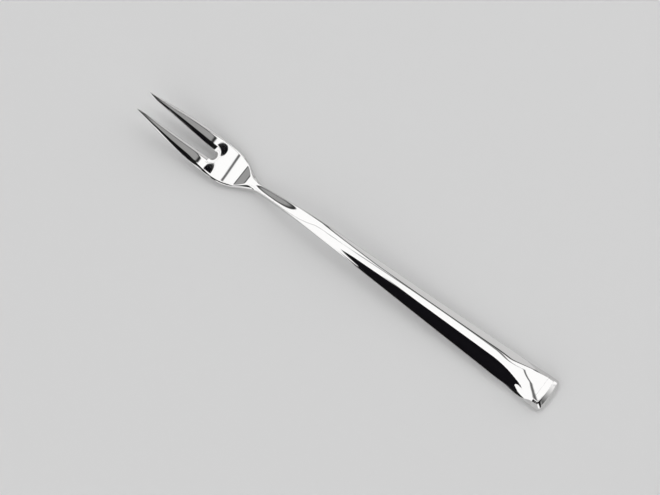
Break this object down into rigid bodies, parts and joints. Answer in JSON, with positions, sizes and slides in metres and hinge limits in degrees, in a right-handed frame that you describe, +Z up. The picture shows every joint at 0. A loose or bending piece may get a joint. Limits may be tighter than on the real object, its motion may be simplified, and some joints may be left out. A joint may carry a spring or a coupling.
{
  "type": "meat fork",
  "caption": "Two-tined serving fork in polished steel, with a slender neck and a half-round handle that widens and flattens into a thick square-cut end.",
  "frame": {"origin": "on the table, under the middle of the fork's box", "axes": "+X from the tine tips to the handle end, +Z up from the table, +Y to the side"},
  "size_m": [0.2, 0.0164, 0.0108],
  "materials": {
    "polished_steel": "mirror polished stainless steel",
    "cement": "set filling cement"
  },
  "bodies": {
    "root": {"fork_head": "polished_steel", "handle_top_shell": "polished_steel", "handle_bottom_shell": "polished_steel", "handle_filler": "cement", "end_cap": "polished_steel"}
  },
  "joints": []
}
